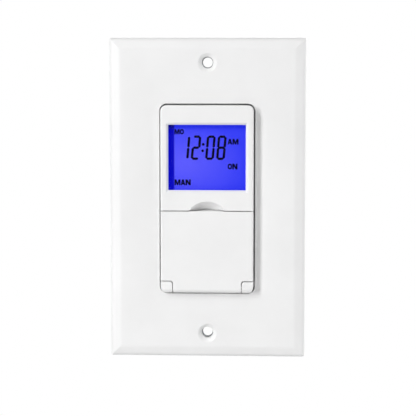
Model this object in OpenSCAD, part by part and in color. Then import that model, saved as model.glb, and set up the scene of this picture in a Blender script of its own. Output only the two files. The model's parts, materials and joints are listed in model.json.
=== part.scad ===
// In-wall timer light switch: wall plate, flip-down key door, lit display and the switching
// module behind them. Millimetres. The front faces -Y, +Z is up and the wall plane is y = 0.
// The origin is midway between the two box screws, on the wall plane.

/* [Wall plate] */
// Width of the wall plate
plate_w = 69.85; // [64:0.05:90]
// Height of the wall plate
plate_h = 114.3; // [103:0.1:140]
// How far the plate's flat front stands off the wall
plate_depth = 5.6; // [5:0.1:8]
// Thickness of the plate's moulding
plate_wall = 2; // [1.5:0.1:2.6]
// Width of the sloped rim, seen from the front
rim_w = 3.8; // [2.5:0.1:5]
// Height of the rim's upright edge at the wall
rim_edge = 4.3; // [3.4:0.1:4.6]
// Radius that blends the slope into the flat front
rim_crest_r = 8; // [4:0.5:10]
// Radius of the plate's corners
plate_corner_r = 0.8; // [0.5:0.1:4]
// Distance from the plate's ends to its screw holes
plate_screw_inset = 8.73; // [7:0.01:12]
// Diameter of the plate screw holes
plate_screw_d = 4.2; // [3.6:0.1:5]
// Diameter of the countersinks at the plate's front
countersink_d = 6.6; // [5.5:0.1:8]
// Outer diameter of the sleeves behind the screw holes
sleeve_d = 9; // [8.4:0.1:12]
// Thickness of the stiffening ribs behind the plate
rib_t = 1.2; // [0.8:0.1:2]

/* [Face] */
// Width of the face that stands in the plate's opening
face_w = 33; // [30:0.1:36]
// Height of the face
face_h = 66.9; // [60:0.1:72]
// How far the face stands in front of the plate
face_proud = 3; // [2.5:0.1:4]
// Radius of the face's corners
face_r = 2.1; // [1:0.1:4]
// Radius that rounds the face's front edges
face_edge_r = 0.6; // [0.3:0.1:1.2]
// Gap between the face and the plate's opening
face_gap = 0.5; // [0.2:0.05:0.8]
// Thickness of the face's side walls
face_wall = 1.3; // [1:0.1:1.6]
// Thickness of the wall around the display
front_wall = 1.4; // [1.2:0.1:2]

/* [Display] */
// Width of the face beside the display window
window_side = 2.75; // [2.55:0.05:4]
// Height of the face between the window and the door
bridge_h = 7.55; // [7:0.05:9]
// Distance from the top of the face to the top of the window
window_top = 6.85; // [6.4:0.05:8]
// Width of the sloped frame around the window
window_chamfer = 0.7; // [0.3:0.05:1]
// Thickness of the clear window pane
lens_t = 0.8; // [0.6:0.1:1]
// How far the pane reaches behind the window's edge
lens_lap = 1; // [0.6:0.1:1.2]
// Thickness of the display cell
glass_t = 2.8; // [2.2:0.1:3]
// How far the cell reaches past the window at each side
glass_side = 0.7; // [0.4:0.05:0.8]
// How far the cell reaches past the window at the top and the bottom
glass_end = 1.5; // [1.2:0.1:1.6]
// Thickness of the light guide behind the cell
guide_t = 2.4; // [1.8:0.1:2.6]

/* [Door] */
// Height of the door, from the bottom of the face to its top edge
door_h = 29.3; // [27:0.05:32]
// Thickness of the door's front
door_t = 1.6; // [1.3:0.1:1.8]
// Thickness of the door's side walls
skirt_t = 1.3; // [1:0.1:1.8]
// Gap around the closed door
door_gap = 0.3; // [0.3:0.05:0.5]
// Radius of the hinge barrel, which also rounds the bottom edge of the face
knuckle_r = 1.7; // [1.5:0.05:1.8]
// Width of the fixed knuckle at each lower corner
lug_w = 4.05; // [3.5:0.05:5]
// Height of the fixed knuckles
lug_h = 4.2; // [4:0.1:4.6]
// Radius of the upper front edge of a fixed knuckle
lug_edge_r = 1.2; // [1.1:0.1:1.6]
// Radius of the upper inner corner of a fixed knuckle
lug_r = 1; // [0.4:0.1:1.2]
// Diameter of the hinge rod
rod_d = 1.2; // [1:0.1:1.5]
// Width of the finger scoop above the door
scoop_w = 12.9; // [10:0.1:16]
// Height of the finger scoop
scoop_h = 3.35; // [2.5:0.05:3.8]
// Depth of the finger scoop at the door's edge
scoop_depth = 4; // [2.5:0.1:4]
// Width of the arched lip in the middle of the door's top edge
lip_w = 13.4; // [10:0.1:16]
// Height of the arched lip
lip_h = 0.15; // [0.1:0.05:0.6]

/* [Keys] */
// Width of a programming key
key_w = 6.4; // [5:0.1:7]
// Height of a programming key
key_h = 4.4; // [3.5:0.1:4.8]
// Distance from the inner walls of the face to the outer keys
key_side = 2.65; // [2:0.05:3]
// Distance from the hinge up to the middle of the lowest keys
key_low = 5.15; // [4:0.05:6]
// Width of the manual key under the door's pusher
manual_key_w = 12; // [9:0.1:13]
// Distance from the door's top edge to the middle of the manual key
manual_key_drop = 5.1; // [4.9:0.1:6]
// How far the keys stand out of their panel
key_proud = 0.8; // [0.6:0.05:0.9]
// Thickness of the key panel
panel_t = 1.3; // [1:0.1:1.5]
// Gap between one push switch and the next
switch_gap = 1.15; // [0.6:0.05:2]
// Height of a push switch's body
switch_h = 3.5; // [3.1:0.1:3.6]

/* [Mounting strap] */
// Thickness of the steel strap
strap_t = 1.2; // [1:0.1:1.5]
// How far the strap reaches past the housing at each side
strap_side = 0.75; // [0.2:0.05:3]
// How far the strap reaches past the plate screws at each end
strap_end = 4.08; // [3.4:0.02:5]
// Distance from a plate screw to the box screw beside it
box_screw_step = 6.75; // [6:0.01:7.5]
// Diameter of the box screw holes
box_screw_d = 4.4; // [3.8:0.1:5]
// Diameter of the tapped holes for the plate screws
tapped_d = 3.5; // [3:0.1:4]

/* [Rear housing] */
// How far the housing reaches past the face at each side
body_side = 5.9; // [5.6:0.05:7]
// How far the housing reaches past the face at each end
body_end = 1.25; // [0.8:0.05:2.5]
// How far the housing reaches behind the wall plane
body_depth = 30; // [29:0.5:36]
// Thickness of the housing's walls
body_wall = 1.8; // [1.4:0.1:2]
// Radius of the housing's corners
body_r = 3; // [2:0.1:4]
// Thickness of the face's flange behind the strap
flange_t = 2; // [1.6:0.1:2.4]

/* [Terminals] */
// Distance of the terminals above and below the middle
terminal_z = 11; // [9:0.1:13]
// Depth of the terminal pockets
pocket_depth = 4; // [3.6:0.1:4.2]
// Diameter of a terminal screw's head
terminal_head_d = 7.8; // [6.5:0.1:8.4]
// Diameter of a terminal screw's thread
terminal_thread_d = 4; // [3.4:0.1:4.2]

/* [Circuit boards] */
// Thickness of the circuit boards
board_t = 1.6; // [1.2:0.1:2]
// Distance from the wall plane to the power board
power_board_y = 23; // [22.6:0.1:23.4]
// Width of the relay
relay_w = 12.6; // [10:0.1:13]
// Length of the relay
relay_l = 28.6; // [24:0.1:29]
// Height of the relay
relay_h = 14.6; // [12:0.1:15.2]

/* [Hidden] */
$fn = 48;
hull_fn = 32;

// Clearances and small fits
skin = 0.01;
bite = 0.2;
running = 0.05;
fit = 0.1;
touch = 0.3;
past = 1;

// Outlines that follow from the face and the plate
inner_w = face_w - 2 * face_wall;
inner_top = face_h / 2 - face_wall;
body_w = face_w + 2 * body_side;
body_h = face_h + 2 * body_end;
plate_screw_pitch = plate_h - 2 * plate_screw_inset;

// Levels along the depth, from the front to the back
panel_drop = 1.2;
y_plate = -plate_depth;
y_face = y_plate - face_proud;
y_lens = y_face + front_wall;
y_glass = y_lens + lens_t + fit;
y_guide = y_glass + glass_t;
y_floor = y_guide + guide_t;
y_panel = y_plate + panel_drop;
y_panel_back = y_panel + panel_t;
y_board = flange_t;
y_board_back = y_board + board_t;
y_power_back = power_board_y + board_t;
y_back_wall = body_depth - body_wall;

// Rim of the wall plate
slope_a = atan2(plate_depth - rim_edge, rim_w);
crest_in = rim_w + rim_crest_r * tan(slope_a / 2);
crest_steps = 5;
cavity_edge = max(bite, rim_edge - plate_wall * tan((90 - slope_a) / 2));
cavity_in = rim_w + plate_wall * tan(slope_a / 2);
opening_w = face_w + 2 * face_gap;
opening_h = face_h + 2 * face_gap;
rib_back = -strap_t - touch;

// Display stack
window_w = face_w - 2 * window_side;
window_h = face_h - door_h - bridge_h - window_top;
window_z = face_h / 2 - window_top - window_h / 2;
lens_r = 0.5;
glass_w = window_w + 2 * glass_side;
glass_h = window_h + 2 * glass_end;
holder_wall = 0.5;
holder_w = glass_w + 2 * (fit + holder_wall);
holder_h = glass_h + 2 * (fit + holder_wall);
holder_floor_t = 1;
zebra_t = 1.6;
zebra_inset = 1.3;
zebra_w = glass_w - 2 * zebra_inset;
zebra_z = glass_h / 2 - fit - zebra_t / 2;
led_t = 1.3;
led_w = 3.4;
led_x = 7;
led_z = zebra_z - zebra_t / 2 - 2 * fit - led_t / 2;
guide_inset = 1.1;
guide_w = glass_w - 2 * guide_inset;
guide_top = zebra_z - zebra_t / 2 - touch;
guide_bottom = -led_z + led_t / 2 + 2 * fit;

// Door and hinge
door_top = -face_h / 2 + door_h;
block_bottom = door_top + door_gap;
y_hinge = y_face + knuckle_r;
z_hinge = -face_h / 2 + knuckle_r;
lug_x = face_w / 2 - lug_w;
lug_top = -face_h / 2 + lug_h;
barrel_x = lug_x - door_gap;
notch_z = lug_top + door_gap;
skirt_gap = 0.9;
y_skirt = y_panel - skirt_gap;
rod_bore_d = rod_d + 2 * running;
rod_inset = 1.2;
rod_recess = 0.4;
lip_arc_r = (lip_w * lip_w / 4 + lip_h * lip_h) / (2 * lip_h);

// Finger scoop: a ball cut whose trace on the face is an arc of scoop_w by scoop_h
scoop_arc_r = (scoop_w * scoop_w / 4 + scoop_h * scoop_h) / (2 * scoop_h);
scoop_arc_z = block_bottom + scoop_h - scoop_arc_r;
scoop_drop = scoop_arc_r - scoop_h;
scoop_off = (scoop_arc_r * scoop_arc_r - scoop_drop * scoop_drop - scoop_depth * scoop_depth)
  / (2 * scoop_depth);
scoop_ball_r = sqrt(scoop_arc_r * scoop_arc_r + scoop_off * scoop_off);

// Walls of the face
shelf_h = 4.4;
shelf_top = block_bottom + shelf_h;
shelf_lap = 0.5;
key_room_top = block_bottom - shelf_lap;

// Keys: name, column, row
KEYS = [
  ["clock", -1, 0], ["day", 0, 0], ["hour", 1, 0],
  ["program", -1, 1], ["mode", 0, 1], ["minute", 1, 1]
];
key_r = 1.2;
key_gap = 0.2;
key_brim = 0.5;
key_brim_t = 0.65;
y_key = y_panel - key_proud;
y_key_back = y_panel_back + running + key_brim_t;
manual_z = door_top - manual_key_drop;
key_pitch_x = (inner_w - key_w) / 2 - key_side;
key_pitch_z = (manual_z - notch_z - key_low) / 2;
switch_w = key_pitch_z - switch_gap;
reset_inset = 4.25;
reset_x = inner_w / 2 - reset_inset;
reset_hole_d = 1.8;
plunger_d = 3.3;
plunger_seat = 1.3;
y_switch = y_board - switch_h;
switch_bore = 2.2;
pusher_w = 8;
pusher_h = 2.6;
pusher_gap = 0.15;

// Screws that hold the display board
post_d = 3.2;
board_screw_d = 1.6;
board_screw_head_d = 3;
board_screw_head_t = 1.1;
board_screw_l = 5.4;
post_inset = 2.65;
post_x = inner_w / 2 - post_inset;
post_top_z = max(inner_top - post_d / 2 + fit, window_z + holder_h / 2 + fit + post_d / 2);
post_low_z = -inner_top + post_d / 2 - fit;
board_lap = 0.25;
board_w = inner_w + 2 * board_lap;
board_end = 1.5;
board_top = post_top_z + board_end;
board_low = post_low_z - board_end;

// Mounting strap
strap_gap = 0.3;
strap_w = body_w + 2 * strap_side;
strap_l = plate_screw_pitch + 2 * strap_end;
box_screw_pitch = plate_screw_pitch - 2 * box_screw_step;
strap_frame_end = 3;
strap_frame_h = body_h + 2 * strap_frame_end;
strap_r = 2;
tongue_w = 20;
wing_w = 38;
wing_h = 8.4;
wing_neck_w = 3.2;
ground_in = 7.5;
ground_out = 1.6;
ground_x = -strap_w / 2 + ground_in;
ground_z = -strap_frame_h / 2 - ground_out;
ground_tab_r = 4.2;
ground_screw_d = 3.8;
ground_head_d = 7;
ground_head_t = 2.2;
ground_screw_l = 3;

// Screws that hold the two halves of the module to the strap
assembly_d = 2.4;
assembly_head_d = 4.6;
assembly_head_t = 1.8;
assembly_seat_y = 10;
well_d = assembly_head_d + 2 * touch;
well_wall = 0.8;
well_side = 0.65;
assembly_end = 5;
assembly_x = body_w / 2 - well_d / 2 - well_side;
assembly_z = body_h / 2 - assembly_end;
column_d = well_d + 2 * well_wall;

// Terminals: name, side, height
TERMINALS = [["line", -1, 1], ["load", -1, -1], ["neutral", 1, 1]];
pocket_y = 8;
pocket_l = 11;
pocket_side = 1.85;
pocket_w = terminal_head_d + 2 * pocket_side;
pocket_wall = 1.6;
pocket_x = body_w / 2 - pocket_depth;
terminal_t = 0.9;
terminal_edge = 1;
terminal_w = pocket_w - 2 * terminal_edge;
terminal_l = pocket_l - 2 * terminal_edge;
terminal_y = pocket_y + pocket_l / 2;
terminal_head_t = 2;
terminal_screw_l = 3.6;
leg_w = 3.2;
leg_reach = 4.65;
leg_edge = 0.5;
leg_x = pocket_x - leg_reach;
leg_y = terminal_y + terminal_l / 2 - leg_edge - terminal_t;
driver_slot_w = 0.9;
driver_slot_t = 0.7;

// Bevel around the housing's rear face
body_bevel = 1;

// Parts on the rear of the display board
cell_d = 20;
cell_t = 3.2;
cell_step_w = 1.2;
cell_z = 12.6;
cell_seat_t = 0.8;
cell_ring_t = 1.2;
cell_clip_w = 5;
chip_z = -12;
chip_d = 13;
chip_h = 1.6;
crystal_d = 2.1;
crystal_l = 6;
crystal_x = 9.5;

// Link between the boards
pin_count = 8;
pin_pitch = 2.54;
pin_t = 0.64;
pin_z = 26.4;
block_t = 2.5;

// Parts on the power board
power_board_side = 6.95;
power_board_end = 4;
power_board_w = body_w - 2 * power_board_side;
power_board_h = body_h - 2 * power_board_end;
power_post_side = 2.7;
power_post_end = 2.3;
power_post_x = power_board_w / 2 - power_post_side;
power_post_z = power_board_h / 2 - power_post_end;
power_post_d = 4.6;
power_screw_d = 1.8;
power_screw_head_d = 3.4;
power_screw_head_t = 1.3;
power_screw_l = 4.4;
relay_x = -4.4;
relay_r = 0.8;
relay_z = -11.5;
film_r = 0.6;
film_w = 7.5;
film_l = 17.5;
film_h = 13.5;
film_x = 7.2;
film_z = -14;
// Filter capacitors: diameter, height, z
FILTERS = [[8, 12, 2.5], [6.3, 11, 12]];
filter_x = 6.5;
filter_groove = 0.35;
filter_groove_z = 1.5;
varistor_d = 9;
varistor_t = 3.6;
varistor_x = -6.5;
varistor_z = 9;
varistor_leg = 2.2;
varistor_leg_d = 1;
fuse_d = 3.4;
fuse_l = 9;
fuse_x = -6.5;
fuse_z = 17.5;
rectifier_r = 0.3;
rectifier_w = 7;
rectifier_l = 5;
rectifier_h = 2.6;
rectifier_x = 6;
rectifier_z = 19.5;

// Colours
white = [0.94, 0.94, 0.93];
dark_grey = [0.2, 0.21, 0.22];
steel = [0.75, 0.76, 0.77];
brass = [0.78, 0.62, 0.27];
display_blue = [0.33, 0.36, 1];
clear = [0.85, 0.9, 0.95, 0.4];
board_green = [0.1, 0.36, 0.2];
black = [0.06, 0.06, 0.07];
ground_green = [0.1, 0.5, 0.2];
relay_blue = [0.12, 0.3, 0.62];
film_yellow = [0.83, 0.66, 0.16];
varistor_blue = [0.16, 0.35, 0.6];
pale = [0.88, 0.88, 0.84];

// Shared shapes

// Extrudes a shape drawn in x and z from y0 to y1
module slab(y0, y1) {
  translate([0, y1, 0]) rotate([90, 0, 0]) linear_extrude(y1 - y0) children();
}

// Round bar along the depth
module bar_y(d, y0, y1) {
  translate([0, y1, 0]) rotate([90, 0, 0]) cylinder(d = d, h = y1 - y0);
}

// Round bar across the width
module bar_x(d, x0, x1) {
  translate([x0, 0, 0]) rotate([0, 90, 0]) cylinder(d = d, h = x1 - x0);
}

module rounded(w, h, r) {
  square([w - 2 * r, h], center = true);
  square([w, h - 2 * r], center = true);
  for (sx = [-1, 1], sz = [-1, 1])
    translate([sx * (w / 2 - r), sz * (h / 2 - r)]) circle(r);
}

// Box between two heights, centred across the width
module band(w, z0, z1) {
  translate([-w / 2, z0]) square([w, z1 - z0]);
}

// Copies its child to the four corners of a rectangle
module at_corners(x, z) {
  for (sx = [-1, 1], sz = [-1, 1]) translate([sx * x, 0, sz * z]) children();
}

// Screw along the depth, its head at y0 and its point towards dir
module screw_y(head_d, head_t, shank_d, shank_l, dir) {
  y_head = dir > 0 ? [-head_t, 0] : [0, head_t];
  y_shank = dir > 0 ? [-bite, shank_l] : [-shank_l, bite];
  recess_l = head_d * 0.64;
  recess_w = head_d * 0.14;
  difference() {
    union() {
      bar_y(head_d, y_head[0], y_head[1]);
      bar_y(shank_d, y_shank[0], y_shank[1]);
    }
    for (a = [0, 90])
      rotate([0, a, 0])
        translate([-recess_l / 2, dir > 0 ? -head_t - bite : head_t / 2, -recess_w / 2])
          cube([recess_l, head_t / 2 + bite, recess_w]);
  }
}

// Wall plate

module plate_outside() {
  hull($fn = hull_fn) {
    slab(-rim_edge, 0) rounded(plate_w, plate_h, plate_corner_r);
    for (i = [0:crest_steps]) {
      a = slope_a * i / crest_steps;
      inset = crest_in - rim_crest_r * sin(a);
      depth = plate_depth - rim_crest_r * (1 - cos(a));
      slab(-depth, -depth + skin)
        rounded(plate_w - 2 * inset, plate_h - 2 * inset, max(bite, plate_corner_r - inset));
    }
  }
}

module plate_cavity() {
  hull($fn = hull_fn) {
    slab(-cavity_edge, past)
      rounded(plate_w - 2 * plate_wall, plate_h - 2 * plate_wall, max(bite, plate_corner_r - plate_wall));
    slab(y_plate + plate_wall, y_plate + plate_wall + skin)
      rounded(plate_w - 2 * cavity_in, plate_h - 2 * cavity_in, bite);
  }
}

module plate_ribs() {
  rib_front = y_plate + plate_wall - bite;
  rib_out = 2 * plate_wall;
  slab(rib_front, rib_back)
    rounded(opening_w + rib_out, opening_h + rib_out, face_r + face_gap + plate_wall);
  for (z = [-0.25, 0.25] * face_h)
    slab(rib_front, rib_back)
      translate([0, z]) square([plate_w - 2 * cavity_in + bite, rib_t], center = true);
  for (x = [-1, 1] * (sleeve_d / 2 + rib_t))
    slab(rib_front, rib_back)
      translate([x, 0]) square([rib_t, plate_h - 2 * cavity_in + bite], center = true);
}

module plate_screw_hole() {
  cone = (countersink_d - plate_screw_d) / 2;
  bar_y(plate_screw_d, y_plate - past, past);
  translate([0, y_plate - skin, 0])
    rotate([-90, 0, 0]) cylinder(d1 = countersink_d + 2 * skin, d2 = plate_screw_d, h = cone + skin);
}

module wall_plate() {
  color(white) difference() {
    union() {
      difference() {
        plate_outside();
        plate_cavity();
      }
      plate_ribs();
      for (s = [-1, 1])
        translate([0, 0, s * plate_screw_pitch / 2])
          bar_y(sleeve_d, y_plate + plate_wall - bite, -strap_t);
    }
    slab(y_plate - past, past) rounded(opening_w, opening_h, face_r + face_gap);
    for (s = [-1, 1]) translate([0, 0, s * plate_screw_pitch / 2]) plate_screw_hole();
  }
}

// Mounting strap

module strap_outline() {
  rounded(strap_w, strap_frame_h, strap_r);
  rounded(tongue_w, strap_l, strap_r);
  for (s = [-1, 1]) {
    wing_z = s * (strap_l - wing_h) / 2;
    translate([0, wing_z]) square([wing_w - wing_h, wing_neck_w], center = true);
    for (sx = [-1, 1]) translate([sx * (wing_w - wing_h) / 2, wing_z]) circle(d = wing_h);
  }
  translate([ground_x, ground_z]) circle(ground_tab_r);
}

module strap_holes() {
  rounded(face_w + 2 * strap_gap, face_h + 2 * strap_gap, face_r + strap_gap);
  for (s = [-1, 1]) {
    translate([0, s * box_screw_pitch / 2]) circle(d = box_screw_d);
    translate([0, s * plate_screw_pitch / 2]) circle(d = tapped_d);
  }
  for (sx = [-1, 1], sz = [-1, 1])
    translate([sx * assembly_x, sz * assembly_z]) circle(d = assembly_d + 2 * running);
  translate([ground_x, ground_z]) circle(d = ground_screw_d + 2 * running);
}

module mounting_strap() {
  color(steel) slab(-strap_t, 0) difference() {
    strap_outline();
    strap_holes();
  }
}

module ground_screw() {
  color(ground_green) translate([ground_x, 0, ground_z])
    screw_y(ground_head_d, ground_head_t, ground_screw_d, ground_screw_l, -1);
}

// Face

// Whole rounded front of the face, door included
module face_form() {
  hull($fn = hull_fn) {
    slab(y_face + face_edge_r, 0) rounded(face_w, face_h, face_r);
    for (a = [0:30:60]) {
      inset = face_edge_r * (1 - sin(a));
      y = y_face + face_edge_r * (1 - cos(a));
      slab(y, y + skin) rounded(face_w - 2 * inset, face_h - 2 * inset, face_r - inset);
    }
  }
}

// Front view of a fixed knuckle with its rounded upper inner corner, grown by a gap
module lug_outline(side, gap) {
  w = 2 * lug_w;
  h = 2 * lug_h;
  translate([side * (lug_x - gap + w / 2), lug_top + gap - h / 2]) rounded(w, h, lug_r);
}

module lug(side) {
  x0 = side < 0 ? -face_w / 2 : lug_x;
  y_back = y_panel + bite;
  flat_h = lug_h - knuckle_r - lug_edge_r;
  intersection() {
    face_form();
    slab(y_face, y_back) lug_outline(side, 0);
    union() {
      translate([0, y_hinge, z_hinge]) bar_x(2 * knuckle_r, x0, x0 + lug_w);
      translate([0, y_face + lug_edge_r, lug_top - lug_edge_r]) bar_x(2 * lug_edge_r, x0, x0 + lug_w);
      translate([x0, y_face, z_hinge]) cube([lug_w, y_back - y_face, flat_h]);
      translate([x0, y_face + lug_edge_r, z_hinge])
        cube([lug_w, y_back - y_face - lug_edge_r, flat_h + lug_edge_r]);
      translate([x0, y_hinge, z_hinge - knuckle_r]) cube([lug_w, y_back - y_hinge, 2 * knuckle_r]);
    }
  }
}

module window_cut() {
  slab(y_face - past, y_lens + past) translate([0, window_z]) square([window_w, window_h], center = true);
  hull() {
    slab(y_face - skin, y_face)
      translate([0, window_z])
        square([window_w + 2 * window_chamfer, window_h + 2 * window_chamfer], center = true);
    slab(y_face + window_chamfer, y_face + window_chamfer + skin)
      translate([0, window_z]) square([window_w, window_h], center = true);
  }
}

module scoop_cut() {
  intersection() {
    translate([0, y_face - scoop_off, scoop_arc_z]) sphere(scoop_ball_r, $fn = 96);
    slab(y_face - past, y_panel) band(face_w, door_top, window_z);
  }
}

// Arc that rises above the door's straight top edge, grown by a gap
module lip_outline(gap) {
  intersection() {
    translate([0, door_top + lip_h - lip_arc_r]) circle(lip_arc_r + gap, $fn = 360);
    band(2 * lip_w, door_top + gap - bite, door_top + gap + 2 * lip_h);
  }
}

module key_holes() {
  slab(y_panel - bite, y_panel_back + bite) {
    for (k = KEYS)
      translate(key_place(k)) rounded(key_w + 2 * key_gap, key_h + 2 * key_gap, key_r + key_gap);
    translate([0, manual_z])
      rounded(manual_key_w + 2 * key_gap, key_h + 2 * key_gap, key_r + key_gap);
    translate([reset_x, manual_z]) circle(d = reset_hole_d);
  }
}

module lug_bore() {
  translate([0, y_hinge, z_hinge]) bar_x(rod_bore_d, -face_w / 2 + rod_inset - fit, face_w / 2 + past);
}

module bezel_shell() {
  difference() {
    union() {
      intersection() {
        face_form();
        slab(y_face - past, 0) band(face_w + 2 * past, block_bottom, face_h);
      }
      slab(y_panel, bite) rounded(face_w, face_h, face_r);
      slab(0, flange_t) rounded(body_w, body_h, body_r);
    }
    slab(y_lens, flange_t + past) band(inner_w, shelf_top, inner_top);
    slab(y_panel_back, flange_t + past) band(inner_w, -inner_top, key_room_top);
    window_cut();
    scoop_cut();
    slab(y_face - past, y_skirt) lip_outline(door_gap);
    key_holes();
    at_corners(assembly_x, assembly_z) bar_y(assembly_d + 2 * touch, -past, flange_t + past);
  }
}

module board_posts() {
  for (sx = [-1, 1]) {
    translate([sx * post_x, 0, post_top_z]) bar_y(post_d, y_lens - bite, y_board);
    translate([sx * post_x, 0, post_low_z]) bar_y(post_d, y_panel_back - bite, y_board);
  }
}

module at_board_screws() {
  for (sx = [-1, 1], z = [post_low_z, post_top_z]) translate([sx * post_x, 0, z]) children();
}

module front_bezel() {
  color(white) difference() {
    union() {
      bezel_shell();
      board_posts();
      lug(-1);
      lug(1);
    }
    lug_bore();
    at_board_screws()
      bar_y(board_screw_d + 2 * running, y_board_back - board_screw_l - touch, y_board + past);
  }
}

// Door

module door_outline() {
  difference() {
    band(face_w, z_hinge, door_top);
    for (s = [-1, 1]) lug_outline(s, door_gap);
  }
}

module door_pan() {
  pan_low = notch_z + skirt_t;
  pan_high = door_top - skirt_t;
  slab(y_face + door_t, y_skirt + past) band(face_w - 2 * skirt_t, pan_low, pan_high);
}

module door() {
  color(white) {
    difference() {
      union() {
        intersection() {
          face_form();
          slab(y_face - past, y_skirt) door_outline();
        }
        translate([0, y_hinge, z_hinge]) bar_x(2 * knuckle_r, -barrel_x, barrel_x);
        slab(y_face, y_face + door_t) lip_outline(0);
      }
      door_pan();
      translate([0, y_hinge, z_hinge]) bar_x(rod_bore_d, -face_w, face_w);
    }
    slab(y_face + door_t - bite, y_key - pusher_gap)
      translate([0, manual_z]) rounded(pusher_w, pusher_h, key_r);
  }
}

module hinge_rod() {
  color(steel) translate([0, y_hinge, z_hinge])
    bar_x(rod_d, -face_w / 2 + rod_inset, face_w / 2 - rod_recess);
}

// Display stack

module lcd_window() {
  color(clear) slab(y_lens, y_lens + lens_t)
    translate([0, window_z]) rounded(window_w + 2 * lens_lap, window_h + 2 * lens_lap, lens_r);
}

module lcd_glass() {
  color(display_blue) slab(y_glass, y_guide)
    translate([0, window_z]) square([glass_w, glass_h], center = true);
}

module backlight_guide() {
  color(clear) slab(y_guide, y_floor)
    translate([0, window_z]) band(guide_w, guide_bottom, guide_top);
}

module zebra_outline(gap) {
  for (s = [-1, 1])
    translate([0, s * zebra_z]) square([zebra_w + 2 * gap, zebra_t + 2 * gap], center = true);
}

module led_outline(gap) {
  for (s = [-1, 1])
    translate([s * led_x, -led_z]) square([led_w + 2 * gap, led_t + 2 * gap], center = true);
}

module lcd_holder() {
  color(pale) translate([0, 0, window_z]) difference() {
    slab(y_glass + bite, y_board) rounded(holder_w, holder_h, holder_wall);
    slab(y_glass - past, y_guide) square([glass_w + 2 * fit, glass_h + 2 * fit], center = true);
    slab(y_guide - past, y_floor) band(guide_w + 2 * fit, guide_bottom - fit, guide_top + fit);
    slab(y_floor + holder_floor_t, y_board + past)
      square([guide_w, 2 * zebra_z - zebra_t - 4 * fit], center = true);
    slab(y_guide - past, y_board + past) zebra_outline(fit);
    slab(y_guide - past, y_board + past) led_outline(fit);
  }
}

module zebra_strips() {
  color(black) slab(y_guide, y_board) translate([0, window_z]) zebra_outline(0);
}

module backlight_leds() {
  color(pale) slab(y_guide + touch, y_board) translate([0, window_z]) led_outline(0);
}

// Keys

function key_place(k) = [k[1] * key_pitch_x, manual_z - (k[2] + 1) * key_pitch_z];
function at_y(p) = [p[0], 0, p[1]];

module key_cap(w) {
  slab(y_key, y_panel_back + 2 * running) rounded(w, key_h, key_r);
  slab(y_panel_back + running, y_key_back)
    rounded(w + 2 * key_brim, key_h + 2 * key_brim, key_r + key_brim);
}

module plunger(y_top) {
  bar_y(plunger_d, y_top, y_switch + plunger_seat);
}

module key(k) {
  color(white) translate(at_y(key_place(k))) key_cap(key_w);
}

module key_plunger(k) {
  color(black) translate(at_y(key_place(k))) plunger(y_key_back + fit);
}

module manual_key() {
  color(white) translate([0, 0, manual_z]) key_cap(manual_key_w);
}

module manual_plunger() {
  color(black) translate([0, 0, manual_z]) plunger(y_key_back + fit);
}

module reset_plunger() {
  color(black) translate([reset_x, 0, manual_z]) plunger(y_panel_back + touch);
}

module push_switch() {
  difference() {
    slab(y_switch, y_board) square(switch_w, center = true);
    bar_y(plunger_d + 2 * running, y_switch - past, y_switch + switch_bore);
  }
}

module push_switches() {
  color(dark_grey) {
    for (k = KEYS) translate(at_y(key_place(k))) push_switch();
    translate([0, 0, manual_z]) push_switch();
    translate([reset_x, 0, manual_z]) push_switch();
  }
}

// Display board and what it carries

module display_board() {
  color(board_green) difference() {
    slab(y_board, y_board_back) band(board_w, board_low, board_top);
    at_board_screws() bar_y(board_screw_d + 2 * fit, y_board - past, y_board_back + past);
  }
}

module display_board_screws() {
  color(steel) translate([0, y_board_back, 0]) at_board_screws()
    screw_y(board_screw_head_d, board_screw_head_t, board_screw_d, board_screw_l, -1);
}

module battery_holder() {
  y_seat = y_board_back + cell_seat_t;
  y_rim = y_seat + cell_t * 0.7;
  color(black) translate([0, 0, cell_z]) difference() {
    bar_y(cell_d + 2 * (fit + cell_ring_t), y_board_back, y_rim);
    bar_y(cell_d + 2 * fit, y_seat, y_rim + past);
    slab(y_seat, y_rim + past)
      for (a = [45, 135]) rotate(a) square([cell_d * 2, cell_clip_w], center = true);
  }
}

module coin_cell() {
  y_seat = y_board_back + cell_seat_t;
  step = cell_t * 0.3;
  color(steel) translate([0, 0, cell_z]) {
    bar_y(cell_d - 2 * cell_step_w, y_seat, y_seat + step + bite);
    bar_y(cell_d, y_seat + step, y_seat + cell_t);
  }
}

module controller_chip() {
  ball_r = (chip_d * chip_d / 4 + chip_h * chip_h) / (2 * chip_h);
  color(black) translate([0, y_board_back, chip_z]) rotate([-90, 0, 0]) rotate_extrude()
    intersection() {
      translate([0, chip_h - ball_r]) circle(ball_r, $fn = 360);
      square([chip_d, chip_h]);
    }
}

module clock_crystal() {
  color(steel) translate([crystal_x, y_board_back + crystal_d / 2, chip_z - crystal_l / 2])
    cylinder(d = crystal_d, h = crystal_l);
}

module pin_row(t) {
  for (i = [0:pin_count - 1])
    translate([(i - (pin_count - 1) / 2) * pin_pitch, pin_z]) square(t, center = true);
}

module header_block() {
  color(black) slab(y_board_back, y_board_back + block_t) difference() {
    translate([0, pin_z]) square([pin_count * pin_pitch, pin_pitch], center = true);
    pin_row(pin_t + running);
  }
}

module header_pins() {
  color(brass) slab(y_board_back, power_board_y) pin_row(pin_t);
}

// Power board and what it carries

module power_board() {
  color(board_green) difference() {
    slab(power_board_y, y_power_back) square([power_board_w, power_board_h], center = true);
    at_corners(power_post_x, power_post_z)
      bar_y(power_screw_d + 2 * fit, power_board_y - past, y_power_back + past);
  }
}

module power_board_screws() {
  color(steel) translate([0, power_board_y, 0]) at_corners(power_post_x, power_post_z)
    screw_y(power_screw_head_d, power_screw_head_t, power_screw_d, power_screw_l, 1);
}

// Stands a part of the given height on the power board's front
module on_power_board(h) {
  slab(power_board_y - h, power_board_y) children();
}

module relay() {
  color(relay_blue) translate([relay_x, 0, relay_z])
    on_power_board(relay_h) rounded(relay_w, relay_l, relay_r);
}

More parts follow.
